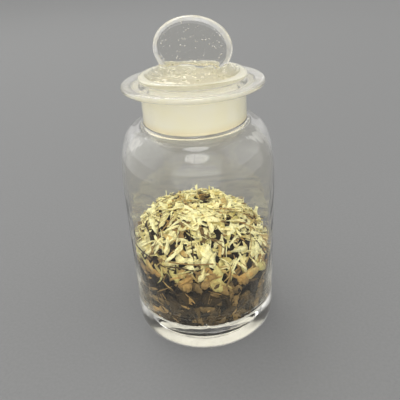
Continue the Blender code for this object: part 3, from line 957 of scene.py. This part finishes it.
class Flake:
    """A cut flake of leaf: straight sides, slanting torn ends, and a slight bow, roll and fold."""

    SEGMENTS = 5
    LENGTHS = (0.45, 1.3)
    WIDTHS = (0.5, 1.5)
    STRIP_LENGTH = 1.3
    STRIP_WIDTH = 0.42
    # Bow for each length and roll for each width
    FLAT = (0.035, 0.08)
    CURLED = (0.14, 0.4)
    FOLD = 0.08
    TWIST = 0.2
    SWEEP = 0.05
    TAPER = 0.7
    SLANT = 0.8
    # Fullness of the outline, then breadth of its tip
    POINTED = ((1, 2), (0.02, 0.3))
    BLUNT = ((6, 14), (0.35, 0.95))
    RAGGED_SIDES = (0.88, 1.06)
    RAGGED_ENDS = (0.94, 1.03)

    def __init__(self, dice, place, normal, tone, breadth=1.0):
        leaf = settings("leaf_sizes")
        strip = dice.random() < leaf.strip_share
        bow, roll = self.CURLED if dice.random() < leaf.curled_share else self.FLAT
        longer, wider = (self.STRIP_LENGTH, self.STRIP_WIDTH) if strip else (1, breadth)
        self.length = leaf.flake_length * dice.uniform(*self.LENGTHS) * longer
        self.width = leaf.flake_width * dice.uniform(*self.WIDTHS) * wider
        self.bow = dice.gauss(0, bow) * self.length
        self.roll = dice.gauss(0, roll) * self.width
        self.fold = dice.gauss(0, self.FOLD) * self.width
        self.twist = dice.gauss(0, self.TWIST)
        self.sweep = dice.gauss(0, self.SWEEP) * self.length
        self.taper = dice.uniform(-self.TAPER, self.TAPER)
        fullness, tip = self.POINTED if dice.random() < leaf.pointed_share else self.BLUNT
        self.fullness = dice.uniform(*fullness)
        self.tip = dice.uniform(*tip)
        self.slants = [dice.uniform(-self.SLANT, self.SLANT) for _ in range(2)]
        self.tone = min(max(tone, 0), 1)
        self.place = place
        spin = Matrix.Rotation(dice.uniform(0, FULL_TURN), 3, "Z")
        self.turn = normal.to_track_quat("Z", "Y").to_matrix() @ spin
        self.dice = dice

    def lean(self, amount):
        """Tips the flake out of the layer it lies in."""
        tip = Matrix.Rotation(self.dice.gauss(0, amount), 3, "X")
        self.turn = self.turn @ tip @ Matrix.Rotation(self.dice.gauss(0, amount), 3, "Y")

    def point(self, along, across):
        """Place of a point given in shares of the half length and half width."""
        swell = self.tip + (1 - self.tip) * (1 - abs(along) ** self.fullness)
        half = self.width / 2 * swell * (1 + self.taper * along)
        over = across * half * self.dice.uniform(*self.RAGGED_SIDES)
        slant = self.slants[along > 0] * over * abs(along)
        x = along * self.length / 2 * self.dice.uniform(*self.RAGGED_ENDS) + slant
        bend = self.bow * (along * along - 0.4) + self.roll * (across * across - 0.5)
        z = bend + self.fold * abs(across) + self.twist * over * along
        return self.place + self.turn @ Vector((x, over + self.sweep * (1 - along * along), z))


class Rib:
    """A dry rib: long, narrow and nearly straight, lying on the crown and turned aside by the glass."""

    SEGMENTS = 12
    LENGTHS = (1.2, 2.6)
    WIDTHS = (0.12, 0.24)
    SWEEP = 0.06
    TONES = (0.45, 0.97)
    # Lifts and arches are in millimetres
    LIFTS = (0.2, 1.0)
    ARCHES = (0, 0.9)

    def __init__(self, dice, heap):
        leaf = settings("leaf_sizes")
        outward = polar(1, dice.uniform(0, FULL_TURN)).xy
        self.heap = heap
        self.middle = outward * heap.reach * math.sqrt(dice.random())
        self.forward = Vector((1, 0)) @ Matrix.Rotation(dice.uniform(0, FULL_TURN), 2)
        self.length = leaf.flake_length * dice.uniform(*self.LENGTHS)
        self.width = leaf.flake_width * dice.uniform(*self.WIDTHS)
        self.sweep = dice.gauss(0, self.SWEEP) * self.length
        self.lift = dice.uniform(*self.LIFTS) * MM
        self.arch = dice.uniform(*self.ARCHES) * MM
        self.tone = dice.uniform(*self.TONES)

    def point(self, along, across):
        aside = Vector((-self.forward.y, self.forward.x))
        stray = self.sweep * (1 - along * along) + across * self.width / 2
        plan = self.middle + self.forward * along * self.length / 2 + aside * stray
        plan *= min(1, self.heap.reach / plan.length)
        point, normal = self.heap.top(plan)
        return point + normal * (self.lift + self.arch * (1 - along * along))


class WallStem:
    """A long thin stem that leans on the glass about where the heap meets the wall."""

    SEGMENTS = 24
    WIDTH = 0.26
    STRAY = 0.6 * MM
    STRAY_TURNS = 3

    def __init__(self, heap, start, end, start_rise, end_rise, tone):
        leaf = settings("leaf_sizes")
        self.heap = heap
        self.start = math.radians(start)
        self.end = math.radians(end)
        self.rises = (start_rise, end_rise)
        self.width = leaf.flake_width * self.WIDTH
        self.tone = tone

    def point(self, along, across):
        rise = (along + 1) / 2
        around = self.start + (self.end - self.start) * rise
        stray = self.STRAY * noise.noise(Vector((around * self.STRAY_TURNS, self.tone, 0)))
        lift = self.rises[0] + (self.rises[1] - self.rises[0]) * rise
        height = self.heap.side_height(around) + lift + stray + across * self.width / 2
        return polar(self.heap.room(height) - self.width / 4, around, height)


def add_flakes(name, flakes, heap, material):
    """One piece made of many flakes, each a small grid that keeps inside the glass."""
    leaf = settings("leaf_sizes")
    shape = bmesh.new()
    tone = shape.verts.layers.float.new("leaf_tone")
    own = shape.loops.layers.uv.new("leaf_map")
    for flake in flakes:
        made = bmesh.ops.create_grid(shape, x_segments=flake.SEGMENTS, y_segments=2, size=1)
        for vert in made["verts"]:
            along, across = vert.co.xy
            for loop in vert.link_loops:
                loop[own].uv = (along, across)
            vert[tone] = flake.tone
            vert.co = heap.kept_in(flake.point(along, across))
    piece = new_piece(name, shape, "bottle", [material], crease=60)
    thicken = piece.modifiers.new("Thickness", "SOLIDIFY")
    thicken.thickness = leaf.flake_thickness
    thicken.offset = 0
    return piece


# Flakes on the crown: depths as shares of the layer, tones from pale at 0 to dark at 1, leans in
# radians. Deeper flakes are darkened as painted shade
TOP_EDGE = 0.6 * MM
BURIED = (-0.3, 1)
HOLE_DEPTH = 0.6
HOLE_LEVEL = -0.3
PALE_SHARE = 0.86
PALE_TONE, PALE_SPREAD = 0.06, 0.12
ODD_TONES = (0.4, 0.85)
SHADE_DEPTH_START, SHADE_DEPTH_TONE, SHADE_DEPTH_POWER = 0.1, 1.1, 1.3
LEVELLING = 0.3
STRAY_SHARE, STRAY_LEAN, TOP_LEAN = 0.16, 0.8, 0.32


def top_flakes(heap, dice):
    """Flakes on the crown, darkened the deeper they lie as painted shade, with holes left in the upper
    layers.
    """
    leaf = settings("leaf_sizes")
    made = 0
    while made < leaf.top_count:
        radius = (heap.wall - TOP_EDGE) * math.sqrt(dice.random())
        point, normal = heap.top(polar(radius, dice.uniform(0, FULL_TURN)))
        buried = dice.uniform(*BURIED)
        if buried < HOLE_DEPTH and noise.noise(point / leaf.hole_spacing) < HOLE_LEVEL:
            continue
        made += 1
        pale = dice.random() < PALE_SHARE
        tone = dice.gauss(PALE_TONE, PALE_SPREAD) if pale else dice.uniform(*ODD_TONES)
        # Painted shade: flakes that lie deeper are darkened
        tone += SHADE_DEPTH_TONE * max(buried - SHADE_DEPTH_START, 0) ** SHADE_DEPTH_POWER
        place = point - normal * buried * leaf.top_depth
        flake = Flake(dice, place, normal.lerp(Vector((0, 0, 1)), LEVELLING), tone)
        flake.lean(STRAY_LEAN if dice.random() < STRAY_SHARE else TOP_LEAN)
        yield flake


# Flakes at the side, with painted shade in their tones: darker than the crown's, darker further in from
# the glass, paler near the top and darkest at the floor
SIDE_DROP = 0.5 * MM
SIDE_POWER = 1.3
DARK_SHARE = 0.7
DARK_TONE, BROWN_TONE = (0.90, 0.10), (0.70, 0.08)
INWARD_SHADE_TONE = 0.25
TOP_LIGHT_FROM, TOP_LIGHT_RATE, TOP_LIGHT_TONE = 0.66, 3.6, 0.42
FLOOR_SHADE_TONE = 0.4
SIDE_LEAN = 0.2


def side_flakes(heap, dice):
    """Flakes that lie against the wall and in the hollows behind it, browner and darker towards the
    floor and further in, as painted shade.
    """
    leaf = settings("leaf_sizes")
    for _ in range(leaf.side_count):
        around = dice.uniform(0, FULL_TURN)
        outward = polar(1, around)
        top = heap.side_height(around) - SIDE_DROP
        rise = dice.random() ** SIDE_POWER
        lowest = heap.floor + heap.corner / 8
        height = lowest + (top - lowest) * rise
        inward = dice.random() ** 2
        pressed = dice.random() < leaf.pressed_share
        surface = heap.room(height) if pressed else heap.side(outward, height)
        place = outward * (surface - inward * leaf.side_depth) + Vector((0, 0, height))
        # Painted shade: side flakes take dark tones, darker further in and near the floor, and paler
        # near the top where the light falls
        tone = dice.gauss(*(DARK_TONE if dice.random() < DARK_SHARE else BROWN_TONE))
        tone += INWARD_SHADE_TONE * inward - TOP_LIGHT_TONE * smooth_step((rise - TOP_LIGHT_FROM) * TOP_LIGHT_RATE)
        tone += FLOOR_SHADE_TONE * smooth_step((lowest + leaf.floor_shade_height - height) / leaf.floor_shade_height)
        flake = Flake(dice, place, outward, tone, leaf.side_breadth)
        flake.lean(SIDE_LEAN)
        yield flake


# Flakes on the bottle's floor, with their lifts in millimetres
FLOOR_LIFTS = (0.1, 1.8)
FLOOR_LEAN = 0.15


def floor_flakes(heap, dice):
    """Flakes in the layer on the bottle's floor, given the darkest tone as painted shade under the heap.
    """
    leaf = settings("leaf_sizes")
    for _ in range(leaf.floor_count):
        radius = (heap.wall - heap.corner * 0.5) * math.sqrt(dice.random())
        around = dice.uniform(0, FULL_TURN)
        height = heap.floor_height(radius) + dice.uniform(*FLOOR_LIFTS) * MM
        flake = Flake(dice, polar(radius, around, height), Vector((0, 0, 1)), 1.0)
        flake.lean(FLOOR_LEAN)
        yield flake


# Unevenness of the core, as a share of how deep it lies, and how far apart its lumps are
CORE_RAGGED = 0.3
CORE_RAGGED_SPACING = 2.5 * MM


def add_shade_core():
    """Dark inside of the heap, a sheet of painted shade drawn in from the packed heap so that flakes
    cover it.
    """
    depth = settings("leaf_sizes").core_depth
    shape = bmesh.new()
    shape.from_mesh(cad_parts["leaf_heap"].data)
    bmesh.ops.remove_doubles(shape, verts=shape.verts, dist=WELD)
    shape.normal_update()
    for vert in shape.verts:
        ragged = noise.noise(vert.co / CORE_RAGGED_SPACING)
        vert.co -= vert.normal * depth * (1 + CORE_RAGGED * ragged)
    piece = new_piece("leaf_shade_core", shape, "bottle", [shade_core_material()])
    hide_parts("leaf_heap")


# Angles round the bottle where a stem starts and ends, its rise over the heap's edge there, and its tone
WALL_STEMS = (
    (192, 257, 3.5 * MM, -0.5 * MM, 0.95),
    (252, 286, 2.5 * MM, 4.0 * MM, 0.66),
    (20, 62, 3.0 * MM, 0.0, 0.90),
    (120, 150, 2.0 * MM, 1.0 * MM, 0.72),
)


class BOTTLE_OT_leaf(Operator):
    """Make the heap of dried cut leaf"""

    bl_idname = "bottle.leaf"
    bl_label = "Leaf"

    def execute(self, context):
        heap = Heap()
        material = leaf_material()
        leaf = settings("leaf_sizes")
        seed = leaf.seed
        add_shade_core()
        top = add_flakes("leaf_top", top_flakes(heap, random.Random(seed)), heap, material)
        packed = [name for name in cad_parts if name.startswith("leaf_") and name[-1].isdigit()]
        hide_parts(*packed)
        add_flakes("leaf_side", side_flakes(heap, random.Random(seed + 1)), heap, material)
        add_flakes("leaf_floor", floor_flakes(heap, random.Random(seed + 2)), heap, material)
        dice = random.Random(seed + 3)
        ribs = [Rib(dice, heap) for _ in range(leaf.rib_count)]
        stems = [WallStem(heap, *place) for place in WALL_STEMS]
        add_flakes("leaf_ribs", ribs + stems, heap, material)
        return {"FINISHED"}


# Stage

KEY_PLACE = (-0.45, 0.75, 1.10)
KEY_WIDTH, KEY_HEIGHT = 0.60, 0.50
GLASS_BOUNCES = 24
FLOOR_MOTTLE = 0.85
GATHER_FULL = 0.72


def add_disc(name, radius, height, material):
    """Flat disc on the stage."""
    shape = bmesh.new()
    bmesh.ops.create_circle(shape, cap_ends=True, segments=96, radius=radius)
    bmesh.ops.translate(shape, vec=(0, 0, height), verts=shape.verts)
    mesh = bpy.data.meshes.new(name)
    shape.to_mesh(mesh)
    shape.free()
    mesh.materials.append(material)
    disc = bpy.data.objects.new(name, mesh)
    bpy.context.scene.collection.objects.link(disc)
    disc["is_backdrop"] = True
    return disc


def add_floor():
    stage = settings("stage_settings")
    material, nodes = new_material("floor")
    place = nodes.object_place()
    grain = nodes.noise(place, 900.0, detail=3.0)
    darker = [level * FLOOR_MOTTLE for level in stage.floor_colour]
    tint = nodes.mix(nodes.spread(grain, 0.3, 0.7, 0.0, 0.5), stage.floor_colour, darker)
    values = {"Base Color": tint, "Roughness": 0.75, "Specular IOR Level": 0.25}
    nodes.matt(values)
    add_disc("floor", stage.floor_radius, -stage.floor_drop, material)


def add_painted_caustic_glow():
    """Painted glow on a hidden disc on the floor, standing in for the light that the glass gathers
    there. Only rays that come through glass meet it.
    """
    stage = settings("stage_settings")
    material, nodes = new_material("painted_caustic_glow")
    place = nodes.object_place()
    streaks = nodes.noise(place, 190.0, detail=3.0, roughness=0.6, distortion=1.5)
    radius = nodes.add("ShaderNodeVectorMath", {0: place}, operation="LENGTH").outputs["Value"]
    fade = nodes.spread(radius, stage.gather_radius, stage.gather_radius * GATHER_FULL)
    strength = nodes.times(nodes.spread(streaks, 0.3, 0.7, 0.45, 1.5), stage.gather_strength)
    # Painted glow: emission in place of the light that the glass gathers on the floor
    values = {"Color": (1.0, 0.97, 0.84, 1), "Strength": strength}
    glow = nodes.add("ShaderNodeEmission", values).outputs[0]
    clear = nodes.add("ShaderNodeBsdfTransparent").outputs[0]
    nodes.end("Surface", nodes.add("ShaderNodeMixShader", {0: fade, 1: clear, 2: glow}).outputs[0])
    disc = add_disc("painted_caustic_glow", stage.gather_radius, -stage.floor_drop / 2, material)
    disc.visible_camera = disc.visible_diffuse = False
    disc.visible_glossy = disc.visible_shadow = False


# Direction of each soft light of the room, and the cosines at which it is full and gone
ROOM_GLOWS = {
    "over_glow": ((0.05, -0.36, 0.93), 0.982, 0.958),
    "left_glow": ((-0.90, 0.0, 0.50), 0.86, 0.68),
    "right_glow": ((0.88, 0.0, 0.42), 0.90, 0.74),
    "front_glow": ((0.10, -0.95, 0.28), 0.88, 0.72),
    "back_glow": ((-0.20, 0.70, 0.70), 0.85, 0.40),
}


def add_room():
    """Even room light, brighter at eye level than overhead, with the soft lights in it."""
    stage = settings("stage_settings")
    world = bpy.data.worlds.new("room")
    world.use_nodes = True
    world.node_tree.nodes.clear()
    nodes = Nodes(world.node_tree, "ShaderNodeOutputWorld")
    direction = nodes.add("ShaderNodeTexCoord").outputs["Generated"]
    height = nodes.add("ShaderNodeSeparateXYZ", {"Vector": direction}).outputs["Z"]
    strength = nodes.spread(height, 0.3, 0.9, stage.horizon, stage.zenith)
    for name, (towards, full, gone) in ROOM_GLOWS.items():
        values = {0: direction, 1: Vector(towards).normalized()}
        facing = nodes.add("ShaderNodeVectorMath", values, operation="DOT_PRODUCT").outputs["Value"]
        values = {"Value": facing, "From Min": gone, "From Max": full, "To Max": getattr(stage, name)}
        glow = nodes.add("ShaderNodeMapRange", values, interpolation_type="SMOOTHSTEP").outputs["Result"]
        strength = nodes.maths("ADD", strength, glow)
    values = {"Color": (1, 1, 1, 1), "Strength": strength}
    nodes.end("Surface", nodes.add("ShaderNodeBackground", values).outputs[0])
    bpy.context.scene.world = world


def add_lamp(name, power, place, width, height):
    """Rectangular soft lamp that faces the middle of the bottle."""
    lamp = bpy.data.lights.new(name, "AREA")
    lamp.shape = "RECTANGLE"
    lamp.size = width
    lamp.size_y = height
    lamp.energy = power
    holder = bpy.data.objects.new(name, lamp)
    holder.location = place
    middle = (CAD_BOX[0] + CAD_BOX[1]) / 2
    holder.rotation_euler = (middle - Vector(place)).to_track_quat("-Z", "Y").to_euler()
    holder.visible_camera = False
    bpy.context.scene.collection.objects.link(holder)


def add_camera():
    stage = settings("stage_settings")
    camera = bpy.data.objects.new("camera", bpy.data.cameras.new("camera"))
    bpy.context.scene.collection.objects.link(camera)
    camera.data.lens = stage.camera_lens
    camera.data.clip_start = MM
    upright = Matrix.Translation((0, -stage.camera_back, stage.camera_height))
    tilt = Matrix.Rotation(math.pi / 2 - stage.camera_down, 4, "X")
    look = tilt @ Matrix.Rotation(stage.camera_roll, 4, "Z")
    camera.matrix_world = Matrix.Rotation(stage.camera_round, 4, "Z") @ upright @ look
    bpy.context.scene.camera = camera


class BOTTLE_OT_stage(Operator):
    """Make the floor, the soft light and the camera"""

    bl_idname = "bottle.stage"
    bl_label = "Stage"

    def execute(self, context):
        stage = settings("stage_settings")
        add_floor()
        add_painted_caustic_glow()
        add_room()
        add_lamp("key_lamp", stage.key_power, KEY_PLACE, KEY_WIDTH, KEY_HEIGHT)
        add_camera()
        scene = context.scene
        scene.view_settings.view_transform = "Standard"
        scene.cycles.max_bounces = GLASS_BOUNCES
        scene.cycles.transmission_bounces = GLASS_BOUNCES
        scene.cycles.transparent_max_bounces = 32
        return {"FINISHED"}


class BOTTLE_OT_effects(Operator):
    """Make the shader groups that the materials share"""

    bl_idname = "bottle.effects"
    bl_label = "Effects"

    def execute(self, context):
        glass_wave_group()
        leaf_surface_group()
        return {"FINISHED"}


OPERATORS = (BOTTLE_OT_effects, BOTTLE_OT_bottle, BOTTLE_OT_stopper, BOTTLE_OT_leaf, BOTTLE_OT_stage)
GROUPS = {
    "bottle_sizes": BottleSizes,
    "stopper_sizes": StopperSizes,
    "leaf_sizes": LeafSizes,
    "stage_settings": StageSettings,
}


class BOTTLE_PT_panel(Panel):
    """Lists the steps that build the bottle, and their settings."""

    bl_idname = "BOTTLE_PT_panel"
    bl_label = "Stoppered Bottle"
    bl_space_type = "VIEW_3D"
    bl_region_type = "UI"
    bl_category = "Bottle"

    def draw(self, context):
        for operator in OPERATORS:
            self.layout.operator(operator.bl_idname)
        for name, group in GROUPS.items():
            box = self.layout.box()
            box.label(text=group.__doc__)
            for key in group.__annotations__:
                box.prop(getattr(context.scene, name), key)


def register():
    for cls in (*GROUPS.values(), *OPERATORS, BOTTLE_PT_panel):
        bpy.utils.register_class(cls)
    for name, group in GROUPS.items():
        setattr(bpy.types.Scene, name, PointerProperty(type=group))


def unregister():
    for name in GROUPS:
        delattr(bpy.types.Scene, name)
    for cls in reversed((*GROUPS.values(), *OPERATORS, BOTTLE_PT_panel)):
        bpy.utils.unregister_class(cls)


def main():
    register()
    bpy.ops.bottle.effects()
    bpy.ops.bottle.bottle()
    bpy.ops.bottle.stopper()
    bpy.ops.bottle.leaf()
    bpy.ops.bottle.stage()
    boxes = {"cad": CAD_BOX, "visual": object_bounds()}
    {name: [list(corner) for corner in box] for name, box in boxes.items()}


if __name__ == "__main__":
    main()
